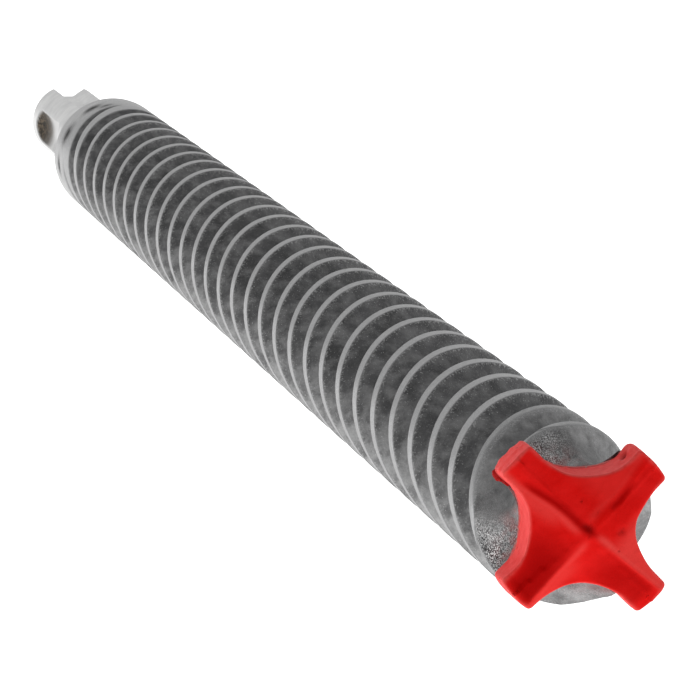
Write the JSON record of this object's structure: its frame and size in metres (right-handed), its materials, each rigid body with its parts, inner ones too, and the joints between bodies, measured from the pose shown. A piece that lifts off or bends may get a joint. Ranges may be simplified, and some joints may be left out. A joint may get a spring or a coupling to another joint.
{
  "type": "hammer drill bit",
  "caption": "Long masonry drill bit for a rotary hammer: red-coated carbide cross head brazed to a spiral-fluted steel body with a slotted quick-change shank.",
  "frame": {"origin": "centre of the flat rear end face of the shank, the face the hammer strikes", "axes": "+Y is the bit's axis, pointing out of the shank's rear end, so the cutting tip is at -Y; the open drive slots of the shank face +Z and -Z and the closed recesses +X and -X; the four wings stand at 45 degrees to X and Z"},
  "size_m": [0.0152, 0.2963, 0.0152],
  "materials": {
    "red_coating": "satin red coating over pressed tungsten carbide, slightly lumpy, with softened edges",
    "braze": "thin dull braze line, mostly hidden under the red coating",
    "blasted_steel": "grey hardened steel, shot-blasted in the flutes and smoother on the lands, collar and shank"
  },
  "bodies": {
    "root": {"carbide_head": "red_coating", "braze_layer": "braze", "steel_body": "blasted_steel"}
  },
  "joints": []
}
